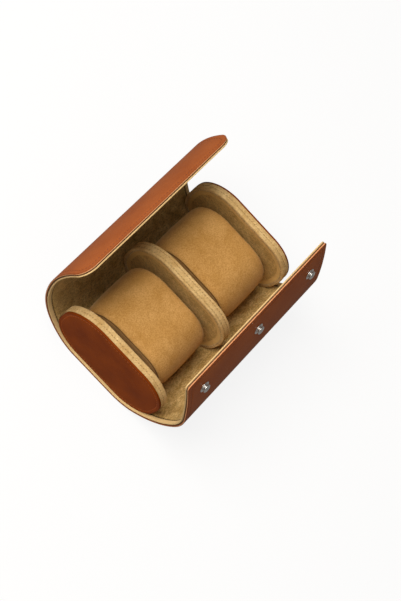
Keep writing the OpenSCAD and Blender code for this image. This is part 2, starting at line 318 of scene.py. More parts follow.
def bump(tree: bpy.types.NodeTree, height: Socket, strength: float, relief_mm: float) -> Socket:
    """The normal of a surface that stands up by relief_mm where the height is 1."""
    return add_node(tree, "ShaderNodeBump", {
        "Height": height, "Strength": strength, "Distance": relief_mm * MM}).outputs["Normal"]


@dataclass(frozen=True)
class Finish(ABC):
    """A surface's finish, which makes its material once."""

    name: str

    @abstractmethod
    def shade(self, tree: bpy.types.NodeTree) -> bpy.types.Node:
        """Draws the finish and returns its shader node."""

    def material(self) -> bpy.types.Material:
        """Returns the finish's material, made at the first call."""
        made = bpy.data.materials.get(self.name)
        if made is None:
            made = bpy.data.materials.new(self.name)
            tree = fresh_tree(made)
            add_node(tree, "ShaderNodeOutputMaterial", {"Surface": self.shade(tree).outputs[0]})
        return made


@dataclass(frozen=True)
class SmoothLeather(Finish):
    """Full-grain cowhide, drum dyed and plated smooth: a soft broad gloss over a fine pebble.

    The dye lies unevenly in patches of a few centimetres, pores are darker, and the colour
    deepens where the burnished border rolls over. The pebble is drawn 0.9 mm wide, about three
    times the real one, so that it shows.
    """

    follow: Follow = Follow.SURFACE
    pale: str = "#A65B2E"
    deep: str = "#9A5127"
    pore: str = "#74300F"
    patch_mm: float = 24.0
    pebble_mm: float = 0.9
    relief_mm: float = 0.05
    gloss: tuple[float, float] = (0.42, 0.52)
    specular: float = 0.04
    rolled_mm: float = 1.0

    def shade(self, tree: bpy.types.NodeTree) -> bpy.types.Node:
        """Mixes patches, pores and border, and bumps the pebble."""
        where = pattern_space(tree, self.follow)
        patch = noise(tree, where, self.patch_mm, 3.0, Roughness=0.55)
        dyed = mix(tree, ramp(tree, patch, 0.32, 0.68), self.deep, self.pale)
        pebble = add_node(tree, "ShaderNodeTexVoronoi", {
            "Vector": where, "Scale": per_metre(self.pebble_mm), "Randomness": 0.9},
            feature="DISTANCE_TO_EDGE").outputs["Distance"]
        pored = mix(tree, ramp(tree, pebble, 0.0, 0.16, 0.30, 0.0), dyed, self.pore)
        rolled = ramp(tree, border_value(tree), 0.2, self.rolled_mm, 0.55, 0.0)
        height = ramp(tree, pebble, 0.0, 0.3, interpolation_type="SMOOTHSTEP")
        return add_node(tree, "ShaderNodeBsdfPrincipled", {
            "Base Color": mix(tree, rolled, pored, self.pore),
            "Roughness": ramp(tree, patch, 0.0, 1.0, *self.gloss),
            "Normal": bump(tree, height, 0.5, self.relief_mm), "IOR": 1.5,
            "Specular IOR Level": self.specular})


@dataclass(frozen=True)
class Suede(Finish):
    """Microsuede, brushed: a dull mottled nap that lights up at a grazing angle.

    The nap lies in brushed patches, over short streaks and single tufts. Its tone changes
    towards a cut edge, and dark shade is painted along the groove of a seam. The tufts are
    drawn 0.9 to 1.7 mm wide, several times the real ones, so that they show.
    """

    follow: Follow = Follow.SURFACE
    pale: str = "#D8B272"
    deep: str = "#A98244"
    shade_tone: str = "#644A1F"
    # colour of the shade painted along a seam's groove
    groove_shade_tone: str = "#3C2A12"
    patch_mm: float = 8.0
    tuft_mm: float = 1.7
    streak: float = 1.4
    contrast: float = 0.62
    relief_mm: float = 0.25
    sheen: float = 0.25
    border_tone: str | None = None
    border_mm: float = 3.6
    groove_mm: float = 0.0
    groove_w_mm: float = 0.75

    def shade(self, tree: bpy.types.NodeTree) -> bpy.types.Node:
        """Mixes patches, streaks and tufts, and bumps the tufts."""
        where = pattern_space(tree, self.follow)
        patch = noise(tree, where, self.patch_mm, 4.0, Roughness=0.6, Distortion=0.6)
        brushed = mix(tree, ramp(tree, patch, 0.30, 0.70), self.deep, self.pale)
        combed = add_node(tree, "ShaderNodeMapping", {
            "Vector": where, "Scale": (1.0, self.streak, self.streak)}).outputs["Vector"]
        tuft = noise(tree, combed, self.tuft_mm, 2.0, Roughness=0.7, Distortion=0.6)
        gaps = ramp(tree, tuft, 0.36, 0.62, self.contrast, 0.0)
        napped = mix(tree, gaps, brushed, self.shade_tone)
        edge = border_value(tree)
        rolled = ramp(tree, edge, self.border_mm * 0.8, self.border_mm, 0.75, 0.0)
        colour = mix(tree, rolled, napped, self.border_tone or self.pale)
        # Painted shade: the seam's line is darkened as if it lay in the shade of a groove.
        if self.groove_mm:
            away = calculate(tree, "ABSOLUTE",
                             calculate(tree, "SUBTRACT", edge, self.groove_mm))
            sunk = ramp(tree, away, self.groove_w_mm * 0.4, self.groove_w_mm, 0.85, 0.0)
            colour = mix(tree, sunk, colour, self.groove_shade_tone)
        return add_node(tree, "ShaderNodeBsdfPrincipled", {
            "Base Color": colour, "Roughness": 0.95,
            "Normal": bump(tree, tuft, 0.7, self.relief_mm), "IOR": 1.45,
            "Specular IOR Level": 0.05, "Sheen Weight": self.sheen, "Sheen Roughness": 0.45,
            "Sheen Tint": linear("#F0D8A8")})


@dataclass(frozen=True)
class PlatedMetal(Finish):
    """Nickel-plated brass, pressed and barrel polished: bright, with faint hairlines."""

    tone: str = "#D6D2CB"
    roughness: tuple[float, float] = (0.24, 0.36)
    hairline_mm: float = 0.8

    def shade(self, tree: bpy.types.NodeTree) -> bpy.types.Node:
        """Varies the roughness along fine hairlines."""
        drawn = add_node(tree, "ShaderNodeMapping", {
            "Vector": pattern_space(tree), "Scale": (1.0, 6.0, 1.0)}).outputs["Vector"]
        hair = noise(tree, drawn, self.hairline_mm, 2.0)
        return add_node(tree, "ShaderNodeBsdfPrincipled", {
            "Base Color": linear(self.tone), "Metallic": 1.0,
            "Roughness": ramp(tree, hair, 0.0, 1.0, *self.roughness)})


@dataclass(frozen=True)
class TwoTone(Finish):
    """A dull finish of two tones, mixed by a fine grain that may stand up."""

    pale: str
    deep: str
    grain_mm: float
    detail: float
    roughness: float
    specular: float = 0.3
    relief_mm: float = 0.0

    def shade(self, tree: bpy.types.NodeTree) -> bpy.types.Node:
        """Mixes the tones by the grain, and bumps it if it has relief."""
        grain = noise(tree, pattern_space(tree), self.grain_mm, self.detail)
        relief = {"Normal": bump(tree, grain, 0.5, self.relief_mm)} if self.relief_mm else {}
        return add_node(tree, "ShaderNodeBsdfPrincipled", {
            "Base Color": mix(tree, grain, self.deep, self.pale), "Roughness": self.roughness,
            "IOR": 1.5, "Specular IOR Level": self.specular, **relief})


@dataclass(frozen=True)
class CutEdge(TwoTone):
    """The cut edge of leather or suede: pale undyed fibre, waxed and slightly uneven."""

    pale: str = "#E2A878"
    deep: str = "#B9743F"
    grain_mm: float = 1.2
    detail: float = 2.0
    roughness: float = 0.7
    relief_mm: float = 0.1


@dataclass(frozen=True)
class Thread(TwoTone):
    """Waxed polyester thread: a dull twist with slightly paler crests."""

    grain_mm: float = 0.5
    detail: float = 1.0
    roughness: float = 0.6


@dataclass(frozen=True)
class Board(TwoTone):
    """Fibre board or foam inside the leather: matt, with a speckle of fibres."""

    grain_mm: float = 0.9
    detail: float = 3.0
    roughness: float = 0.9
    specular: float = 0.2


WRAP_LEATHER = SmoothLeather("cognac_wrap_leather")
DISC_LEATHER = SmoothLeather("cognac_disc_leather", pale="#9A460E", deep="#7E3405", pore="#5E2403")
LINING_SUEDE = Suede("lining_microsuede", border_tone="#DDB981", groove_mm=3.8)
RIM_SUEDE = Suede("rim_microsuede", pale="#D6B57E", deep="#BA935A", shade_tone="#876434",
                  patch_mm=9.0, tuft_mm=1.2, streak=0.5, contrast=0.38, relief_mm=0.15)
FACE_SUEDE = Suede("wall_face_microsuede", pale="#D3A75F", deep="#AE823E", shade_tone="#6E4F20")
# The finish paints a dark line of shade along the pillow's seams, where the cover has no groove.
PILLOW_SUEDE = Suede("pillow_microsuede", follow=Follow.SPACE, pale="#C49556", deep="#B08143",
                     shade_tone="#8A5D29", patch_mm=14.0, tuft_mm=0.9, streak=1.0, contrast=0.55,
                     relief_mm=0.2, groove_shade_tone="#5A3C18", groove_mm=50.0)
LEATHER_EDGE = CutEdge("leather_cut_edge")
LINING_EDGE = CutEdge("lining_cut_edge", pale="#E6C690", deep="#C79B5E")
NICKEL = PlatedMetal("nickel_plate")
SEAM_THREAD = Thread("saddle_thread", pale="#8A441E", deep="#5A260D")
TAN_THREAD = Thread("suede_thread", pale="#A5844F", deep="#78592E")
DISC_THREAD = Thread("disc_thread", pale="#C4682F", deep="#A04C1E")
STIFF_BOARD = Board("fibre_board", pale="#7A5A3A", deep="#4A3420")
WALL_FOAM = Board("wall_foam", pale="#D8CDB4", deep="#BFB190")


# ---- Seams ------------------------------------------------------------------------------------


@dataclass(frozen=True)
class Seam:
    """A row of stitches. Each is a pill that dips into the material at both ends.

    Args:
        pitch: from one stitch to the next.
        length: of one stitch.
        width: of the thread.
        rise: how far a stitch stands out of the material.
        slant_deg: how far a stitch leans off its line.
        rings: rings of points along a stitch.
        sides: points round it.
    """

    pitch: float = 2.8
    length: float = 2.1
    width: float = 0.55
    rise: float = 0.32
    slant_deg: float = 6.0
    rings: int = 7
    sides: int = 6

    def pill(self) -> tuple[Points, Points]:
        """One stitch on a flat sheet, as (along, across, out), and its faces.

        Ring k lies at l/2 * -cos(k pi / n) along the thread, its radius falls off as the root
        of the sine, and the whole pill sinks as the square of its distance from the middle.
        """
        turn = np.linspace(0, np.pi, self.rings)
        along = -np.cos(turn) * self.length / 2
        radius = np.maximum(np.sqrt(np.sin(turn)), 0.02) * self.width / 2
        round_ = np.arange(self.sides) * 2 * np.pi / self.sides
        across = radius[:, None] * np.cos(round_)
        sunk = self.rise - self.width / 2 - (along / self.length * 2) ** 2 * self.rise
        out = sunk[:, None] + radius[:, None] * np.sin(round_)
        points = np.stack([np.broadcast_to(along[:, None], across.shape), across, out], axis=-1)
        return points.reshape(-1, 3), ring_faces(self.rings, self.sides)

    def sew(self, line: Points, closed: bool,
            lay: Callable[[Points, Points, Points], Points]) -> Surface:
        """Lays stitches along a line on a sheet.

        Args:
            line: points of the seam's line, on the flat sheet.
            closed: whether the line returns to its start.
            lay: turns two flat coordinates and a height above the sheet into points.

        Returns:
            All stitches as one surface.
        """
        if closed:
            line = np.concatenate([line, line[:1]])
        path = way_along(*line.T)
        count = max(1, int(round(path[-1] / self.pitch)))
        middle = (np.arange(count) + 0.5) * path[-1] / count
        at, ahead, behind = (  # a little way off, both sides give the seam's direction
            np.stack([np.interp(middle + step, path, row) for row in line.T], axis=-1)
            for step in (0.0, 0.1, -0.1))
        way = ahead - behind
        angle = np.arctan2(way[:, 1], way[:, 0]) + np.radians(self.slant_deg)
        pill, faces = self.pill()
        cos, sin = np.cos(angle)[:, None], np.sin(angle)[:, None]
        first = at[:, :1] + pill[:, 0] * cos - pill[:, 1] * sin
        second = at[:, 1:] + pill[:, 0] * sin + pill[:, 1] * cos
        out = np.broadcast_to(pill[:, 2], first.shape)
        points = lay(first.ravel(), second.ravel(), out.ravel())
        surface = Surface(points, np.stack([first.ravel(), second.ravel()], axis=-1),
                          np.full(len(points), NO_EDGE))
        shift = (np.arange(count) * len(pill))[:, None, None]
        surface.add_faces((faces[None] + shift).reshape(-1, 4))
        for start, order in ((0, -1), ((self.rings - 1) * self.sides, 1)):
            cap = start + np.arange(self.sides)[::order]
            surface.add_faces((cap[None] + shift[:, :, 0]).reshape(-1, self.sides))
        return surface


# ---- Wrap -------------------------------------------------------------------------------------


@dataclass(frozen=True)
class Layer:
    """One layer of the wrap.

    Args:
        name: its name in the nodes.
        top: depth of its outer face below the wrap's outer face.
        bottom: depth of its inner face.
        face: finish of its faces.
        edge: finish of its cut edge.
        slot: material slot; not used.
        inset: how far its edge stays back from the wrap's edge.
        roll: radius of its rounded edge.
        groove: depth of the seam's groove in its outer and its inner face.
    """

    name: str
    top: float
    bottom: float
    face: Finish
    edge: Finish
    slot: str
    inset: float = 0.0
    roll: float = 0.35
    groove: tuple[float, float] = (0.0, 0.0)


@dataclass(frozen=True)
class Side:
    """One side of the wrap: a chain of tangent arcs from the middle of the base to a free edge.

    Args:
        sign: -1 for the front with the studs, 1 for the back with the flap.
        lift_deg: where the base leaves the walls' corners.
        radii: outer radii of the base's last stretch and the three panels.
        edge: path to the free edge.
        corner_r: radius of the free edge's corners.
        panels: bodies from the base outwards.
        flat_w: half width of the flat base.
        hug_r: outer radius where the base hugs the walls' corners.
        creases: paths of the three creases.
    """

    sign: int
    lift_deg: float
    radii: tuple[float, float, float, float]
    edge: float
    corner_r: float
    panels: tuple[str, str, str, str]
    flat_w: float = 18.75
    hug_r: float = 31.15
    creases: tuple[float, float, float] = (55.0, 88.0, 112.0)

    def arcs(self) -> list[tuple[float, float, float, float, float]]:
        """Each arc as (path at its start, outward, up, angle at its start, radius)."""
        lift = np.radians(self.lift_deg)
        start = self.flat_w + self.hug_r * lift
        chain = [(self.flat_w, self.flat_w, 0.0, 0.0, self.hug_r)]
        for path, radius in zip((start, *self.creases), self.radii):
            chain.append((path, *self._end(chain[-1], path), radius))
        return chain

    @staticmethod
    def _end(arc: tuple[float, ...], path: float) -> tuple[float, float, float]:
        """Point and angle at a path on an arc: its centre plus the radius, turned by l / r."""
        path0, outward, up, angle, radius = arc
        turned = angle + (path - path0) / radius
        centre = (outward - radius * np.sin(angle), up + radius * np.cos(angle))
        return (centre[0] + radius * np.sin(turned), centre[1] - radius * np.cos(turned), turned)

    def place(self, along: Points | float, path: Points | float,
              depth: Points | float) -> Points:
        """Points of the wrap, from their place on its flat sheet.

        The path picks the arc. A point lies on the arc at its path, moved in by its depth
        along the arc's normal. Before the first arc the sheet is flat.

        Args:
            along: place along the case.
            path: way from the middle of the base, along the outer face.
            depth: way below the outer face.

        Returns:
            One row of x, y and z per point.
        """
        along, path, depth = np.broadcast_arrays(along, path, depth)
        outward, up, angle = path.astype(float), np.zeros(path.shape), np.zeros(path.shape)
        for arc in self.arcs():
            here = path >= arc[0]
            ends = self._end(arc, path)
            outward, up, angle = (np.where(here, new, old)
                                  for new, old in zip(ends, (outward, up, angle)))
        return np.stack([along, self.sign * (outward - depth * np.sin(angle)),
                         up + depth * np.cos(angle)], axis=-1)

    def turned(self, path: float, depth: float, along: Points, radius: Points,
               out: Points) -> Points:
        """Points of a form turned about the wrap's normal at a path.

        Ring k of the form has a radius and a height out of the surface. Its points lie round
        the normal, which is the difference of two depths.

        Args:
            path: where the form's axis stands.
            depth: depth of the surface that it stands on.
            along: place of each copy's axis along the case.
            radius: radius of each ring.
            out: height of each ring away from the wrap's outer face.

        Returns:
            One row per point: copies, then rings, then steps round a ring.
        """
        x_way = np.array([1.0, 0.0, 0.0])
        foot = self.place(0.0, path, depth)
        normal = self.place(0.0, path, depth - 1.0) - foot
        turn = np.arange(TURNED_STEPS)[:, None] * 2 * np.pi / TURNED_STEPS
        rays = np.cos(turn) * x_way + np.sin(turn) * np.cross(x_way, normal)
        one = foot + radius[:, None, None] * rays + out[:, None, None] * normal
        return (one.reshape(-1, 3) + along[:, None, None] * x_way).reshape(-1, 3)

    def mark(self, path: float, depth: float) -> tuple[float, float, float]:
        """A point in metres on the wrap's middle, for a path and a depth."""
        return point_mm(*self.place(0.0, path, depth).tolist())


@dataclass
class Wrap:
    """The three-layer strip: outer leather, board and suede lining, sewn along its edges.

    Args:
        half_l: half its length along the case.
        seam_in: from the cut edge to the seam.
        groove_w: width of the seam's groove, as that of a bell curve.
        bend: how far a crease's bend reaches, each way.
        step: way between two rows of points.
        columns: lines of points along a row, without those at the cut edges.
        splits: paths where a side's three lengths start.
        hole_r: radius of the holes in the lining under the sockets.
        fine: reach and step of the closer points round such a hole.
    """

    half_l: float = 74.8
    thick: float = WRAP_THICK
    seam_in: float = 3.8
    groove_w: float = 0.45
    bend: float = 12.0
    step: float = 1.6
    columns: int = 64
    seam: Seam = Seam()
    splits: tuple[float, ...] = (0.0, 71.5, 100.0)
    hole_r: float = 5.2
    fine: tuple[float, float] = (6.0, 0.75)
    sides: tuple[Side, ...] = (
        Side(-1, 45.0, (76.0, 76.0, 44.0, 293.0), 158.0, 2.5,
             ("base", "front_side", "front_shoulder", "lip")),
        Side(1, 30.0, (66.0, 66.0, 116.0, 95.0), 162.0, 11.0,
             ("base", "back_side", "back_shoulder", "flap")),
    )
    layers: tuple[Layer, ...] = (
        Layer("leather", 0.0, 1.3, WRAP_LEATHER, LEATHER_EDGE, "saddle_leather",
              groove=(0.25, 0.0)),
        Layer("board", 1.35, 2.05, STIFF_BOARD, STIFF_BOARD, "stiffening_board", inset=0.3,
              roll=0.05),
        Layer("lining", 2.1, 3.1, LINING_SUEDE, LINING_EDGE, "suede_lining", groove=(0.0, 0.5)),
    )

    # Distances from a cut edge at which the mesh has lines: the rolled edge, then the groove.
    edge_lines: tuple[float, ...] = (0.0, 0.04, 0.12, 0.24, 0.38, 0.8, 1.5, 2.3, 2.9, 3.3, 3.55,
                                     3.8, 4.05, 4.3, 4.8, 6.0)

    def build(self) -> None:
        """Builds each layer of each side in three lengths, and the stitches of each length."""
        for side in self.sides:
            for number, start in enumerate(self.splits):
                last = number == len(self.splits) - 1
                stop = side.edge if last else self.splits[number + 1]
                bodies = side.panels[number], side.panels[number + 1]
                for layer in self.layers:
                    surface = self.sheet(side, layer, start, stop, last)
                    piece = make_piece(self.piece_name(bodies, layer.name), surface,
                                       [layer.face, layer.edge])
                    self.hang(piece, side, number)
                    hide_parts(*(f"{body}_{layer.name}" for body in bodies))
                self.sew(side, number, start, stop, last, bodies)

    @staticmethod
    def piece_name(bodies: tuple[str, str], kind: str) -> str:
        """Name of a piece that crosses from one body to the next."""
        return f"{bodies[0]}_to_{bodies[1]}_{kind}"

    def hang(self, piece: bpy.types.Object, side: Side, number: int) -> None:
        """Bakes the piece's place into its mesh. The points bend each way of the crease are worked
        out, but nothing bends by them.
        """
        crease = side.creases[number]
        side.mark(crease - self.bend, self.thick)
        side.mark(crease + self.bend, self.thick)
        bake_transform(piece)

    def half_length(self, side: Side, path: Points, last: bool, inset: float) -> Points:
        """Half length of the sheet at a path: full, then round its free corner by a circle."""
        corner = side.corner_r
        into = np.clip(path - (side.edge - corner), 0, corner - inset) if last else path * 0
        reach = np.sqrt(np.maximum((corner - inset) ** 2 - into ** 2, 0))
        return self.half_l - corner + np.where(into > 0, reach, corner - inset)

    def border(self, side: Side, along: Points, path: Points, last: bool) -> Points:
        """Distance from the cut edge: that of a rectangle with two round corners."""
        if not last:
            return self.half_l - np.abs(along)
        over = np.abs(along) - (self.half_l - side.corner_r)
        past = path - (side.edge - side.corner_r)
        outside = np.hypot(np.maximum(over, 0), np.maximum(past, 0))
        return side.corner_r - outside - np.minimum(np.maximum(over, past), 0)

    def sheet(self, side: Side, layer: Layer, start: float, stop: float, last: bool) -> Surface:
        """One layer over one length of a side, as a closed sheet.

        Two grids lie on the layer's faces. Near a cut edge their depth follows a quarter
        circle, and at the seam both dip by a bell curve. A band joins them all round, and one
        lines each hole for a socket.
        """
        lines = np.array(self.edge_lines)
        rows = self.rows(side, start, stop, last, layer.inset)
        shares = np.linspace(-1, 1, self.columns + 2)[1:-1]
        pierced = layer.name == "lining" and side.panels[-1] == "flap" and last
        if pierced:
            rows, shares = self.refine(rows, shares)
        half = self.half_length(side, rows, last, layer.inset)[:, None]
        along = np.concatenate([lines - half, (half - lines[-1]) * shares, half - lines[::-1]],
                               axis=1)
        path = np.broadcast_to(rows[:, None], along.shape)
        border = self.border(side, along, path, last) - layer.inset
        rolled = rolled_depth(border, layer.roll)
        dip = bell((border + layer.inset - self.seam_in) / self.groove_w)
        upper = side.place(along, path, layer.top + rolled + dip * layer.groove[0])
        lower = side.place(along, path, layer.bottom - rolled - dip * layer.groove[1])
        flat = np.stack([along, path * side.sign], axis=-1).reshape(-1, 2)
        surface = Surface(np.concatenate([upper.reshape(-1, 3), lower.reshape(-1, 3)]),
                          np.tile(flat, (2, 1)), np.tile(border.ravel(), 2))
        count, cols = along.shape
        under = count * cols
        quads = grid_faces(count, cols)
        if pierced:
            quads, edges = self.pierce(along, path, quads)
            surface.add_faces(np.concatenate([edges, edges[:, ::-1] + under], axis=1), 1)
        surface.add_faces(quads)
        surface.add_faces(quads + under)
        corner = np.arange(count)[:, None] * cols + np.arange(cols)
        for ring, finish in ((corner[:, 0], 1), (corner[:, -1], 1), (corner[0], 0),
                             (corner[-1], 1 if last else 0)):
            band = np.stack([ring[:-1], ring[1:], ring[1:] + under, ring[:-1] + under], axis=1)
            surface.add_faces(band, finish)
        return surface

    def refine(self, rows: Points, shares: Points) -> tuple[Points, Points]:
        """Puts closer lines in place of the others round the three holes.

        Args:
            rows: paths of the sheet's rows.
            shares: places of its columns, as shares of the way to the edge lines.

        Returns:
            The new rows and shares.
        """
        reach, step = self.fine
        fine = np.arange(-reach, reach + 0.1, step)
        plain = rows[np.abs(rows - SOCKET_PATH) > reach + 0.3]
        inner = self.half_l - self.edge_lines[-1]
        holes = np.array([-1, 0, 1]) * SNAP_PITCH / inner
        near = np.abs(shares[:, None] - holes).min(axis=1) < (reach + 0.5) / self.half_l
        close = (holes[:, None] + fine / inner).ravel()
        return (np.unique(np.concatenate([plain, SOCKET_PATH + fine])),
                np.sort(np.concatenate([shares[~near], close])))

    def pierce(self, along: Points, path: Points, quads: Points) -> tuple[Points, Points]:
        """Cuts the holes for the sockets: a quad goes if its four corners lie in a hole.

        Args:
            along: place of each vertex along the case.
            path: path of each vertex.
            quads: the grid's quads.

        Returns:
            The quads that stay, and the holes' edges, which only one cut quad has.
        """
        over = np.abs(along)[..., None] - np.array([0, 1]) * SNAP_PITCH
        away = np.hypot(over.reshape(-1, 2), (path - SOCKET_PATH).reshape(-1, 1))
        cut = (away.min(axis=1) < self.hole_r)[quads].all(axis=1)
        edges = np.concatenate([quads[cut][:, [k, (k + 1) % 4]] for k in range(4)])
        named = np.sort(edges, axis=1)
        same = (named[:, None] == named[None]).all(axis=2)
        return quads[~cut], edges[same.sum(axis=1) == 1]

    def rows(self, side: Side, start: float, stop: float, last: bool, inset: float) -> Points:
        """Paths of the sheet's rows: even, then closer where the free edge rolls over."""
        if not last:
            return np.linspace(start, stop, int((stop - start) / self.step) + 1)
        lines = stop - inset - np.array(self.edge_lines)[::-1]
        plain = np.linspace(start, lines[0], int((lines[0] - start) / self.step) + 1)
        return np.concatenate([plain[:-1], lines])

    def seam_line(self, side: Side, start: float, stop: float, last: bool) -> list[Points]:
        """Lines of the seam on the flat sheet: along both ends, or round the free edge too."""
        reach = self.half_l - self.seam_in
        if not last:
            return [np.array([[x, start], [x, stop]]) for x in (-reach, reach)]
        radius = max(side.corner_r - self.seam_in, 0.8)
        turn = np.linspace(0, np.pi / 2, 9)
        right = np.stack([reach - radius + radius * np.cos(turn),
                          stop - self.seam_in - radius + radius * np.sin(turn)], axis=-1)
        left = right[::-1] * (-1, 1)
        return [np.concatenate([[[reach, start]], right, left, [[-reach, start]]])]

    def sew(self, side: Side, number: int, start: float, stop: float, last: bool,
            bodies: tuple[str, str]) -> None:
        """Sews the seam of one length on the leather and on the lining."""
        for kind, face, dip, finish, slot in (
                ("seam", 0.0, 0.25, SEAM_THREAD, "saddle_leather"),
                ("lining_seam", self.thick, 0.45, TAN_THREAD, "suede_lining")):
            away = 1 if face else -1
            joined, *others = (
                self.seam.sew(line, False,
                              lambda x, s, out: side.place(x, s, face + away * (out - dip)))
                for line in self.seam_line(side, start, stop, last))
            for other in others:
                joined.join(other)
            joined.points[:, 2] = np.maximum(joined.points[:, 2], 0.0)  # flat where it stands
            piece = make_piece(self.piece_name(bodies, kind), joined, [finish])
            self.hang(piece, side, number)


# ---- Walls ------------------------------------------------------------------------------------


class Cover(Enum):
    """What a wall's face is covered with."""

    SUEDE = "suede"
    LEATHER = "leather"


@dataclass
class Wall:
    """A stitched wall: a suede strip round its rim and a covering on each face.

    Args:
        name: start of its nodes' names.
        low: node and covering of the face towards the near end.
        high: node and covering of the face towards the far end.
        groove_in: from a suede face to the seam on the rim.
        groove_size: depth and width of that seam's groove.
        welt: how far the strip stands up beside the groove.
        rim_in: how far the strip lies inside the outline, on its top and beside a disc.
        rim_roll: radius of the strip's rolled end on a face.
        dish: how far a suede face's middle lies below the wall's outer plane.
        sunk: how far its edge does.
        dish_w: width of the smooth step between them.
        disc_inset: how far a leather disc's edge lies inside the outline.
        disc_edge_t: thickness of the disc where it is turned over.
        disc_groove: depth and width of the groove for its seam.
        disc_crown: rise of its edge, and the way over which that fades.
        seam_in: from the outline to the disc's seam.
        turn_seam_in: from the end of the strip's turn-over to the seam on it.
    """

    name: str
    low: tuple[str, Cover]
    high: tuple[str, Cover]
    half_w: float = 46.75
    height: float = 64.0
    corner_r: float = 28.0
    floor_z: float = 3.15
    rim_t: float = 1.2
    face_t: float = 1.0
    rim_turn: float = 3.0
    groove_in: float = 3.4
    groove_size: tuple[float, float] = (0.42, 0.36)
    welt: float = 0.22
    rim_in: tuple[float, float] = (0.1, 0.15)
    fold_r: float = 0.9
    rim_roll: float = 0.35
    dish: float = 0.5
    sunk: float = 0.15
    dish_w: float = 2.2
    disc_inset: float = 0.4
    disc_edge_t: float = 1.5
    disc_groove: tuple[float, float] = (0.2, 0.32)
    disc_crown: tuple[float, float] = (0.12, 9.0)
    seam_in: float = 3.0
    turn_seam_in: float = 0.9
    steps: int = 24
    seam: Seam = Seam(pitch=2.6, length=1.9, width=0.45, rise=0.22)
    rim_seam: Seam = Seam(pitch=2.6, length=1.5, width=0.42, rise=0.25, slant_deg=12.0)

    # Distances from a face's edge at which its mesh has rings; even rings follow to its middle.
    edge_lines: tuple[float, ...] = (0.0, 0.04, 0.12, 0.24, 0.38, 0.8, 1.4, 2.0, 2.3, 2.6, 2.9,
                                     3.3, 4.0, 5.0, 7.0)

    def __post_init__(self) -> None:
        """Reads the wall's place along the case from the frame."""
        boxes = [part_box(f"{self.name}_{part}") for part in (self.low[0], self.high[0])]
        self.start, self.end = boxes[0][0].x / MM, boxes[1][1].x / MM

    def outline(self, inset: Points | float) -> tuple[Points, Points]:
        """The wall's outline drawn in by an inset, anticlockwise from its lower right corner.

        Each corner is a quarter circle of radius r - inset round the same centre, with steps
        points, and straight lines join the corners. Past the radius, the centres move in.

        Args:
            inset: how far to draw in; an array gives one outline per row.

        Returns:
            Places across the case and heights, one column per point.
        """
        inset = np.atleast_1d(np.asarray(inset, float))[:, None]
        radius = np.maximum(self.corner_r - inset, 0)
        past = np.maximum(inset - self.corner_r, 0)
        turn = np.linspace(0, np.pi / 2, self.steps)
        quarter = (np.arange(4) - 1)[:, None] * np.pi / 2 + turn
        side = np.array([1, 1, -1, -1])[:, None] * np.ones(self.steps)
        top = np.array([-1, 1, 1, -1])[:, None] * np.ones(self.steps)
        quarter, side, top = quarter.ravel(), side.ravel(), top.ravel()
        across = side * (self.half_w - self.corner_r - past) + radius * np.cos(quarter)
        up = top * (self.height / 2 - self.corner_r - past) + radius * np.sin(quarter)
        return across, up + self.floor_z + self.height / 2

    def sweep(self, along: Points, inset: Points) -> Surface:
        """Carries a closed profile of (place along the case, inset) round the outline."""
        across, up = self.outline(inset)
        x = np.broadcast_to(along[:, None], across.shape)
        points = np.stack([x, across, up], axis=-1).reshape(-1, 3)
        flat = np.stack([np.broadcast_to(way_along(across[0], up[0]), across.shape),
                         np.broadcast_to(along[:, None] - inset[:, None], across.shape)], axis=-1)
        surface = Surface(points, flat.reshape(-1, 2), np.full(len(points), NO_EDGE))
        rings, count = across.shape
        surface.add_faces(ring_faces(rings, count))
        surface.add_faces(closing_faces(rings, count))
        return surface

    def rim_profile(self) -> tuple[Points, Points]:
        """Section of the rim strip, as places along the case and insets, once round.

        Its top is flat between two folds. Beside each fold to a suede face the strip stands up
        as a welt, by a smooth step, and a bell-shaped groove for the seam runs beside it. At the
        fold the strip rolls over by a quarter circle and lies on the face as far as its
        turn-over.
        """
        low, high = (cover is Cover.SUEDE for _, cover in (self.low, self.high))
        left = self.start if low else self.start + self.disc_edge_t + GAP
        right = self.end if high else self.end - self.disc_edge_t - GAP
        top = np.linspace(left + self.fold_r * low, right - self.fold_r * high, 60)
        inset = np.full(len(top), self.rim_in[0])
        deep, wide = self.groove_size
        for folded, edge in ((low, left), (high, right)):
            if folded:
                away = np.abs(top - edge) - self.groove_in
                inset += deep * bell(away / wide) + self.welt * smooth_step(away / 0.5)
        parts = [(top, inset)]
        parts += self.turn_over(right, -1) if high else [([right], self.rim_in[1:])]
        parts.append(([right - self.face_t * high, left + self.face_t * low], [self.rim_t] * 2))
        parts += ([(x[::-1], i[::-1]) for x, i in self.turn_over(left, 1)[::-1]] if low
                  else [([left], self.rim_in[1:])])
        return np.concatenate([x for x, _ in parts]), np.concatenate([i for _, i in parts])

    def turn_over(self, edge: float, inward: int) -> list[tuple[Points, Points]]:
        """The strip's fold over a face: a quarter circle, a flat run, a rolled end, its back."""
        turn = np.linspace(0, np.pi / 2, 7)[1:]
        roll = self.rim_roll
        flat_end = self.rim_turn - roll
        fold = (edge + inward * self.fold_r * (1 - np.sin(turn)),
                self.rim_in[0] + self.fold_r * (1 - np.cos(turn)))
        run = (np.full(3, edge), np.array([1.4, 2.0, flat_end]))
        end = (edge + inward * roll * (1 - np.cos(turn)), flat_end + roll * np.sin(turn))
        back = (np.array([edge + inward * self.face_t]), np.array([self.rim_turn]))
        return [fold, run, end, back]

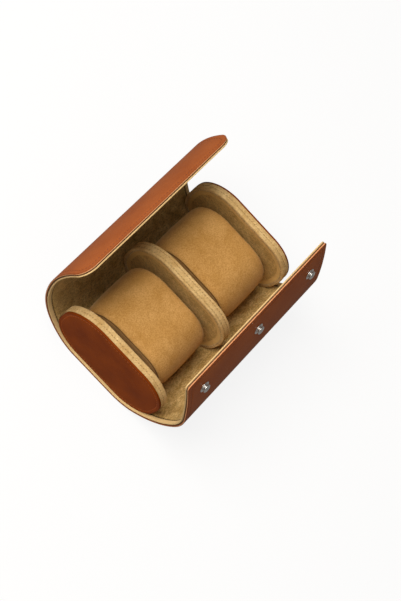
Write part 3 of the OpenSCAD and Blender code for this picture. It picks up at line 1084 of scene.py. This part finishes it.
    def face(self, cover: Cover, outside: float, inward: int) -> Surface:
        """A face's covering: rings drawn in from its edge to a flat middle.

        A suede face starts beside the rim strip's turn-over and lies dished below it, by a
        smooth step. A leather disc covers the face to its edge, where it rolls over by a
        quarter circle and is turned back under itself, and has a shallow groove for its seam.

        Args:
            cover: what covers it.
            outside: place of the wall's outer plane, along the case.
            inward: 1 or -1, the way into the wall.

        Returns:
            The covering as a closed surface.
        """
        suede = cover is Cover.SUEDE
        edge, roll = (self.rim_turn + GAP, 0.2) if suede else (self.disc_inset, 0.35)
        inset = np.concatenate([edge + np.array(self.edge_lines),
                                np.linspace(edge + 9, self.corner_r + 3.5, 12)])
        border = inset - edge
        depth = rolled_depth(border, roll)
        back = np.full(len(inset), self.face_t)
        if suede:
            depth += self.sunk + (self.dish - self.sunk) * smooth_step(border / self.dish_w)
        else:
            (deep, wide), (crown, fade) = self.disc_groove, self.disc_crown
            depth += deep * bell((inset - self.seam_in) / wide) + crown * np.exp(-border / fade)
            back[inset < self.rim_t] = self.disc_edge_t
        along = outside + inward * np.concatenate([depth, back[::-1]])
        across, up = self.outline(np.concatenate([inset, inset[::-1]]))
        x = np.broadcast_to(along[:, None], across.shape)
        points = np.stack([x, across, up], axis=-1).reshape(-1, 3)
        flat = np.stack([across, up], axis=-1).reshape(-1, 2)
        rings, count = across.shape
        surface = Surface(points, flat, np.repeat(np.concatenate([border, border[::-1]]), count))
        here, middle = np.arange(count), len(inset) * count
        for start in (0, middle):
            surface.add_faces(ring_faces(len(inset), count, start=start))
        surface.add_faces((here + middle - count)[None])
        surface.add_faces((here[::-1] + middle)[None])
        surface.add_faces(closing_faces(rings, count), 1)
        return surface

    def build(self) -> None:
        """Builds the rim strip, the two faces and their seams."""
        rim = make_piece(f"{self.name}_rim_strip", self.sweep(*self.rim_profile()), [RIM_SUEDE])
        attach(rim, "base")
        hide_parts(f"{self.name}_rim")
        for (part, cover), outside, inward in ((self.low, self.start, 1),
                                               (self.high, self.end, -1)):
            leather = cover is Cover.LEATHER
            finishes = [DISC_LEATHER, DISC_LEATHER] if leather else [FACE_SUEDE, FACE_SUEDE]
            piece = make_piece(f"{self.name}_{part}_{cover.value}",
                               self.face(cover, outside, inward), finishes)
            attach(piece, "base")
            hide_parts(f"{self.name}_{part}")
            self.sew(part, cover, outside, inward)
            if not leather:
                self.sew_rim(part, outside + inward * self.groove_in)

    def sew_rim(self, part: str, place: float) -> None:
        """Sews along the groove of the rim strip: the outline's normal carries the stitches."""
        outer, inner = ([np.append(row, row[0]) for row in np.concatenate(self.outline(inset))]
                        for inset in (0.0, 1.0))
        way = way_along(*outer)
        line = np.stack([way, np.full(len(way), place)], axis=-1)

        def lay(along: Points, x: Points, out: Points) -> Points:
            """Points over the outline, at its way round, place along the case and height."""
            y, z, y_in, z_in = (np.interp(along, way, row) for row in (*outer, *inner))
            rise = out - self.groove_size[0]
            return np.stack([x, y + (y - y_in) * rise, z + (z - z_in) * rise], axis=-1)

        piece = make_piece(f"{self.name}_{part}_rim_seam", self.rim_seam.sew(line, False, lay),
                           [TAN_THREAD])
        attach(piece, "base")

    def sew(self, part: str, cover: Cover, outside: float, inward: int) -> None:
        """Sews round a face: on the leather disc, or on the strip's turn-over."""
        leather = cover is Cover.LEATHER
        across, up = self.outline(self.seam_in if leather
                                  else self.rim_turn - self.turn_seam_in)
        line = np.stack([across[0], up[0]], axis=-1)
        dip = 0.22 if leather else 0.0
        stitches = self.seam.sew(line, True, lambda y, z, out: np.stack(
            [outside + inward * (dip - out), y, z], axis=-1))
        piece = make_piece(f"{self.name}_{part}_seam", stitches,
                           [DISC_THREAD if leather else TAN_THREAD])
        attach(piece, "base")


# ---- Pillows ----------------------------------------------------------------------------------


@dataclass
class Pillow:
    """A stuffed suede pillow: a band round its section, sewn to two end panels.

    Args:
        name: start of its nodes' names, and its body's name.
        shrink: how far the empty cover stays inside the CAD box.
        round_r: radius of its long corners.
        rings: rings of points along the band.
        around: points round a ring.
        crown: how far the band is drawn in towards its ends, as a square.
        end_round: how far it is drawn in at its very ends.
        dome: how far an end panel stands out.
        pressure: of the filling.
        stiffness: of the cloth against pull and push, and against bending.
        frames: of the simulation.
        most_mm: how far the filling may move a point.
        seam_mark: border value of the seams, along which the finish paints a dark line of shade.
    """

    name: str
    shrink: float = 0.7
    round_r: float = 25.0
    rings: int = 34
    around: int = 96
    crown: float = 0.9
    end_round: float = 2.8
    dome: float = 1.2
    pressure: float = 4.0
    stiffness: tuple[float, float] = (25.0, 1.2)
    frames: int = 20
    most_mm: float = 3.0
    seam_mark: float = 50.0

    def __post_init__(self) -> None:
        """Reads the pillow's box from the frame."""
        low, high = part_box(f"{self.name}_cover")
        self.low, self.high = np.array(low) / MM, np.array(high) / MM

    def shell(self) -> Surface:
        """The cover before it is filled: rings of a rounded rectangle between two end panels.

        A ring lies at the sine of its number along the pillow, drawn in by the crown, a share
        of the square of its place, and at the ends by a steep power of it. The end panels are
        further rings, drawn in to a small middle. The border is the way along the section from
        the nearer seam, where band and panel meet, from seam_mark upwards.
        """
        half = (self.high - self.low) / 2 - self.shrink
        place = np.sin(np.linspace(-np.pi / 2, np.pi / 2, self.rings))
        steep = 1 - np.sqrt(np.maximum(1 - np.abs(place) ** 9, 0))
        draw = self.crown * place ** 2 + self.end_round * steep
        cap = np.linspace(0, 1, 9)[1:]
        shrunk = draw[-1] + cap * (min(half[1:]) - draw[-1] - 0.6)
        domed = half[0] + self.dome * (1 - (1 - cap) ** 2)
        along = np.concatenate([-domed[::-1], place * half[0], domed])
        inset = np.concatenate([shrunk[::-1], draw, shrunk])[:, None]
        here = np.arange(self.around)
        turn = here * 2 * np.pi / self.around
        across, up = self.rounded(half[1] - inset, half[2] - inset,
                                  np.maximum(self.round_r - inset, 0.2),
                                  np.stack([np.cos(turn), np.sin(turn)]))
        x = np.broadcast_to(along[:, None], across.shape)
        points = np.stack([x, across, up], axis=-1).reshape(-1, 3) + (self.low + self.high) / 2
        way = way_along(along, inset[:, 0])
        seams = way[[len(cap), -1 - len(cap)]]
        border = self.seam_mark + np.abs(way[:, None] - seams).min(axis=1)
        surface = Surface(points, np.zeros((len(points), 2)), np.repeat(border, self.around))
        surface.add_faces(ring_faces(len(along), self.around))
        surface.add_faces(here[::-1][None])
        surface.add_faces((here + (len(along) - 1) * self.around)[None])
        return surface

    @staticmethod
    def rounded(half_w: Points, half_h: Points, radius: Points, ray: Points) -> tuple:
        """Where rays from the middle meet a rounded rectangle, worked out per ring.

        A ray first meets the plain rectangle. Where that point lies in a corner, the ray's
        length solves the quadratic of the corner's circle instead.
        """
        reach = 1 / np.maximum(np.abs(ray[0]) / half_w, np.abs(ray[1]) / half_h)
        y, z = reach * np.abs(ray[0]), reach * np.abs(ray[1])
        cy, cz = half_w - radius, half_h - radius
        corner = (y > cy) & (z > cz)
        b = np.abs(ray[0]) * cy + np.abs(ray[1]) * cz
        root = np.sqrt(np.maximum(b * b - (cy * cy + cz * cz - radius * radius), 0))
        length = np.where(corner, b + root, reach)
        return length * ray[0], length * ray[1]

    def fill(self, piece: bpy.types.Object) -> None:
        """Fills the cover: cloth with air pressure, its two seams held.

        No point moves further than most_mm, or out of the CAD box.
        """
        rest = self.coordinates(piece)
        cloth = piece.modifiers.new("filling", "CLOTH")
        settings = cloth.settings
        settings.use_pressure = True
        settings.uniform_pressure_force = self.pressure
        pull, bend = self.stiffness
        settings.tension_stiffness = settings.compression_stiffness = pull
        settings.bending_stiffness = bend
        settings.effector_weights.gravity = 0.0
        settings.mass = 0.3
        seams = piece.vertex_groups.new(name="seams")
        middle = np.abs(rest[:, 0] - (self.low[0] + self.high[0]) / 2 * MM)
        half = (self.high[0] - self.low[0]) / 2 * MM - self.shrink * MM
        held = np.flatnonzero(np.abs(middle - half) < 0.35 * MM)
        seams.add(held.tolist(), 1.0, "REPLACE")
        settings.vertex_group_mass = "seams"
        scene = bpy.context.scene
        cloth.point_cache.frame_start, cloth.point_cache.frame_end = 1, self.frames
        for number in range(1, self.frames + 1):
            scene.frame_set(number)
        shaped = piece.evaluated_get(bpy.context.evaluated_depsgraph_get())
        moved = self.coordinates(shaped) - rest
        piece.modifiers.remove(cloth)
        scene.frame_set(1)
        far = np.linalg.norm(moved, axis=1, keepdims=True)
        moved *= np.minimum(1, self.most_mm * MM / np.maximum(far, 1e-9))
        low, high = self.low * MM, self.high * MM
        piece.data.vertices.foreach_set("co", np.clip(rest + moved, low, high).ravel())
        piece.data.update()

    @staticmethod
    def coordinates(piece: bpy.types.Object) -> Points:
        """Vertices of an object's mesh, in metres."""
        flat = np.zeros(len(piece.data.vertices) * 3, np.float32)
        piece.data.vertices.foreach_get("co", flat)
        return flat.reshape(-1, 3).astype(float)

    def build(self) -> None:
        """Builds the cover, fills it and lets it ride on its pillow's body."""
        piece = make_piece(f"{self.name}_stuffed", self.shell(), [PILLOW_SUEDE],
                           sharp_deg=80.0)
        self.fill(piece)
        smooth = piece.modifiers.new("smooth", "SUBSURF")
        smooth.levels = smooth.render_levels = 1
        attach(piece, self.name)
        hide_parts(f"{self.name}_cover", f"{self.name}_foam")


# ---- Snaps ------------------------------------------------------------------------------------


def rounded_profile(corners: list[tuple[float, float, float]]) -> tuple[Points, Points]:
    """Carries a profile round its corners: each corner is cut by a curve of its own size.

    A corner's curve starts and ends its size away from it, and its points lie on the
    quadratic between those ends with the corner as its pull.

    Args:
        corners: radius, height and size of each corner.

    Returns:
        Radii and heights of the profile's points.
    """
    given = np.array(corners)
    points = [given[0, :2]]
    step = np.linspace(0, 1, 5)[:, None]
    for before, here, after in zip(given, given[1:], given[2:]):
        back, ahead = before[:2] - here[:2], after[:2] - here[:2]
        start = here[:2] + back / np.linalg.norm(back) * here[2]
        end = here[:2] + ahead / np.linalg.norm(ahead) * here[2]
        points += list((1 - step) ** 2 * start + 2 * step * (1 - step) * here[:2]
                       + step ** 2 * end)
    points.append(given[-1, :2])
    return np.array(points)[:, 0], np.array(points)[:, 1]


@dataclass
class Snaps:
    """The row of studs on the lip and of sockets in the flap's lining."""

    front: Side
    back: Side

    # Corners of the studs' and sockets' profiles, as radius, height and size of the round.
    stud: tuple[tuple[float, float, float], ...] = (
        (0.001, 2.35, 0), (0.75, 2.35, 0.25), (1.25, 2.78, 0.2), (2.3, 2.9, 0.5), (3.3, 2.3, 0.35),
        (3.25, 1.85, 0.2), (2.5, 1.45, 0.2), (2.5, 0.62, 0.12), (2.9, 0.55, 0.15),
        (4.0, 0.5, 0.1), (4.3, 0.3, 0.12), (4.3, 0.05, 0))
    socket: tuple[tuple[float, float, float], ...] = (
        (0.001, 1.0, 0), (4.85, 1.0, 0.1), (4.85, -0.24, 0.05), (5.7, -0.24, 0.1),
        (5.7, -0.75, 0.25), (5.2, -1.12, 0.2), (4.3, -1.1, 0.2), (3.7, -0.8, 0.15),
        (3.7, 0.9, 0.1), (0.001, 0.9, 0))

    def rings(self, corners: tuple[tuple[float, float, float], ...], side: Side, path: float,
              depth: float) -> Surface:
        """All copies of a turned form, closed at its two ends."""
        radius, out = rounded_profile(list(corners))
        along = np.array([-1.0, 0.0, 1.0]) * SNAP_PITCH
        points = side.turned(path, depth, along, radius, out)
        surface = Surface(points, points[:, :2], np.full(len(points), NO_EDGE))
        size = len(radius) * TURNED_STEPS
        for copy in range(len(along)):
            start = copy * size
            surface.add_faces(ring_faces(len(radius), TURNED_STEPS, start=start))
            ends = start + np.arange(TURNED_STEPS)
            surface.add_faces(ends[::-1][None])
            surface.add_faces((ends + size - TURNED_STEPS)[None])
        return surface

    def build(self) -> None:
        """Builds the studs and the sockets' rims, which replace their nodes."""
        studs = make_piece("turned_studs", self.rings(self.stud, self.front, STUD_PATH, 0.0),
                           [NICKEL], sharp_deg=50.0)
        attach(studs, "lip")
        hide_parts("snap_studs")
        sockets = make_piece("turned_sockets",
                             self.rings(self.socket, self.back, SOCKET_PATH, WRAP_THICK),
                             [NICKEL], sharp_deg=50.0)
        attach(sockets, "flap")
        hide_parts("snap_sockets")


# ---- Light and view ---------------------------------------------------------------------------


@dataclass(frozen=True)
class Viewpoint:
    """The camera, turned about the line to its target.

    Args:
        azimuth_deg: 0 looks along +Y.
        elevation_deg: above the horizon.
        roll_deg: turn about the line of sight.
        distance: from the target, in millimetres.
        target: what it looks at, in millimetres.
        lens: focal length for a sensor 36 wide on the long side.
    """

    azimuth_deg: float = -102.82
    elevation_deg: float = 64.05
    roll_deg: float = 58.52
    distance: float = 920.4
    target: tuple[float, float, float] = (15.7, -15.7, 26.0)
    lens: float = 75.76

    def place(self) -> None:
        """Makes the camera and gives it to the scene."""
        azimuth, elevation = np.radians((self.azimuth_deg, self.elevation_deg))
        back = Vector((np.sin(azimuth) * np.cos(elevation), -np.cos(azimuth) * np.cos(elevation),
                       np.sin(elevation)))
        camera = bpy.data.cameras.new("camera")
        camera.lens, camera.sensor_width, camera.sensor_fit = self.lens, 36.0, "AUTO"
        camera.clip_start, camera.clip_end = 0.01, 20.0
        holder = add_object("camera", camera)
        look = (-back).to_track_quat("-Z", "Y").to_matrix()
        turned = look @ Matrix.Rotation(np.radians(self.roll_deg), 3, "Z")
        holder.matrix_world = turned.to_4x4()
        holder.location = (Vector(self.target) + back * self.distance) * MM
        bpy.context.scene.camera = holder


@dataclass(frozen=True)
class Softbox:
    """A square lamp that faces the case.

    Args:
        name: of the lamp.
        towards: direction from the case to the lamp.
        size: its side, in metres.
        power: in watts.
        tone: its colour.
        distance: from the case, in metres.
    """

    name: str
    towards: tuple[float, float, float]
    size: float
    power: float
    tone: str = "#FFFFFF"
    distance: float = 1.4

    def place(self) -> None:
        """Makes the lamp."""
        lamp = bpy.data.lights.new(self.name, "AREA")
        lamp.shape, lamp.size, lamp.energy = "SQUARE", self.size, self.power
        lamp.color = linear(self.tone)[:3]
        holder = add_object(self.name, lamp)
        way = Vector(self.towards).normalized()
        holder.location = way * self.distance + Vector((0, 0, 0.05))
        holder.rotation_mode = "QUATERNION"
        holder.rotation_quaternion = way.to_track_quat("Z", "Y")


@dataclass(frozen=True)
class Studio:
    """A pale floor, soft lamps and a dim world.

    Args:
        floor_size: side of the floor, in metres.
        floor_tone: the floor's colour in direct light.
        bounce_tone: its colour for the light that it throws back.
        floor_white: share of white that a ray sees on it.
        mirrored_white: how bright the white is in reflections.
        world_tone: colour of the world's light.
        world_strength: its strength.
        lamps: the soft lamps.
    """

    floor_size: float = 6.0
    floor_tone: str = "#E4E0DA"
    bounce_tone: str = "#7C766E"
    floor_white: float = 0.86
    mirrored_white: float = 0.2
    world_tone: str = "#F2F1EE"
    world_strength: float = 0.27
    lamps: tuple[Softbox, ...] = (
        Softbox("key_softbox", (-0.25, 0.45, 0.86), 0.9, 26.0),
        Softbox("fill_softbox", (-0.45, -0.50, 0.74), 1.1, 2.0, "#FFF6EA"),
    )

    def build(self) -> None:
        """Builds the floor, the lamps and the world."""
        self.floor()
        self.world()
        for lamp in self.lamps:
            lamp.place()

    def white_paper(self, tree: bpy.types.NodeTree, kind: str) -> tuple[bpy.types.NodeSocket,
                                                                        bpy.types.Node]:
        """White for the rays that see it: full for the camera's, dimmer in gloss and glass.

        Args:
            tree: the tree that it goes into.
            kind: the shader node that shines.

        Returns:
            1 for rays that see it and 0 for light, and the shader.
        """
        ray = add_node(tree, "ShaderNodeLightPath").outputs
        sheen = calculate(tree, "MAXIMUM", ray["Is Glossy Ray"], ray["Is Transmission Ray"])
        seen = calculate(tree, "MAXIMUM", ray["Is Camera Ray"], sheen)
        strength = ramp(tree, ray["Is Camera Ray"], start=self.mirrored_white)
        return seen, add_node(tree, kind, {"Color": (1, 1, 1, 1), "Strength": strength})

    def floor(self) -> None:
        """A square floor. Rays that see it find it nearly white, and it keeps the shadow."""
        half = self.floor_size / 2
        mesh = bpy.data.meshes.new("floor")
        corners = [(-half, -half, 0), (half, -half, 0), (half, half, 0), (-half, half, 0)]
        mesh.from_pydata(corners, [], [(0, 1, 2, 3)])
        finish = bpy.data.materials.new("floor_paper")
        tree = fresh_tree(finish)
        bounced = add_node(tree, "ShaderNodeLightPath").outputs["Is Diffuse Ray"]
        paper = add_node(tree, "ShaderNodeBsdfDiffuse", {
            "Color": mix(tree, bounced, self.floor_tone, self.bounce_tone)})
        seen, white = self.white_paper(tree, "ShaderNodeEmission")
        share = calculate(tree, "MULTIPLY", seen, self.floor_white)
        mixed = add_node(tree, "ShaderNodeMixShader", {
            0: share, 1: paper.outputs[0], 2: white.outputs[0]})
        add_node(tree, "ShaderNodeOutputMaterial", {"Surface": mixed.outputs[0]})
        mesh.materials.append(finish)
        floor = add_object("floor", mesh)

    def world(self) -> None:
        """A dim even world, which rays that see it find white."""
        world = bpy.data.worlds.new("studio")
        tree = fresh_tree(world)
        dim = add_node(tree, "ShaderNodeBackground", {
            "Color": linear(self.world_tone), "Strength": self.world_strength})
        seen, white = self.white_paper(tree, "ShaderNodeBackground")
        mixed = add_node(tree, "ShaderNodeMixShader", {
            0: seen, 1: dim.outputs[0], 2: white.outputs[0]})
        add_node(tree, "ShaderNodeOutputWorld", {"Surface": mixed.outputs[0]})
        bpy.context.scene.world = world


# ---- The case ---------------------------------------------------------------------------------


def dress_nodes() -> None:
    """Gives the CAD nodes that stay, inside the walls and behind the snaps, their finishes."""
    finishes = {"core": WALL_FOAM, "rivets": NICKEL, "caps": NICKEL}
    for name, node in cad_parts.items():
        finish = finishes.get(name.split("_")[-1])
        if finish is not None:
            node.data.materials.clear()
            node.data.materials.append(finish.material())


def main() -> None:
    """Builds the case, its studio and its camera."""
    logging.basicConfig(level=logging.INFO, format="%(name)s: %(message)s")
    bpy.context.scene.view_settings.view_transform = "Standard"
    wrap = Wrap()
    wrap.build()
    Snaps(*wrap.sides).build()
    walls = (
        Wall("near_wall", ("outer_face", Cover.LEATHER), ("inner_face", Cover.SUEDE)),
        Wall("divider", ("near_face", Cover.SUEDE), ("far_face", Cover.SUEDE), groove_in=2.2),
        Wall("far_wall", ("inner_face", Cover.SUEDE), ("outer_face", Cover.LEATHER)),
    )
    for wall in walls:
        wall.build()
    for name in ("near_pillow", "far_pillow"):
        Pillow(name).build()
    dress_nodes()
    Studio().build()
    Viewpoint().place()


if __name__ == "__main__":
    main()
